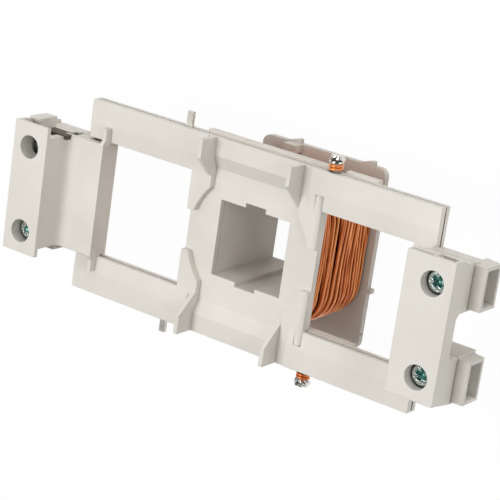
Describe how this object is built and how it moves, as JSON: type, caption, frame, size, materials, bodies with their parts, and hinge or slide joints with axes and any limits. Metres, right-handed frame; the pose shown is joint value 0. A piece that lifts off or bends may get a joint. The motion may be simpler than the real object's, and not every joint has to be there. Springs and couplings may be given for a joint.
{
  "type": "contactor coil",
  "caption": "Plug-in magnet coil for a contactor: copper winding on a bobbin under a flat carrier plate with core windows and screw terminals at its ends.",
  "frame": {"origin": "axis of the core slot at the back face of the bobbin's rear flange", "axes": "+Z along the core slot towards the screw side, +X along the carrier plate, +Y across it"},
  "size_m": [0.146, 0.0628, 0.0441],
  "materials": {
    "moulding": "matte",
    "copper_wire": "enamelled",
    "tinned_strip": "tinned",
    "solder": "bright",
    "zinc_steel": "zinc-plated"
  },
  "bodies": {
    "root": {"front_frame": "moulding", "rear_frame": "moulding", "bobbin": "moulding", "winding": "copper_wire", "contact_strip_upper": "tinned_strip", "contact_strip_lower": "tinned_strip", "lead_wire_upper": "copper_wire", "lead_wire_lower": "copper_wire", "solder_joint_upper": "solder", "solder_joint_lower": "solder", "terminal_screw_left_upper": "zinc_steel", "clamp_plate_left_upper": "zinc_steel", "terminal_nut_left_upper": "zinc_steel", "terminal_screw_left_lower": "zinc_steel", "clamp_plate_left_lower": "zinc_steel", "terminal_nut_left_lower": "zinc_steel", "terminal_screw_right_upper": "zinc_steel", "clamp_plate_right_upper": "zinc_steel", "terminal_nut_right_upper": "zinc_steel", "terminal_screw_right_lower": "zinc_steel", "clamp_plate_right_lower": "zinc_steel", "terminal_nut_right_lower": "zinc_steel"}
  },
  "joints": []
}
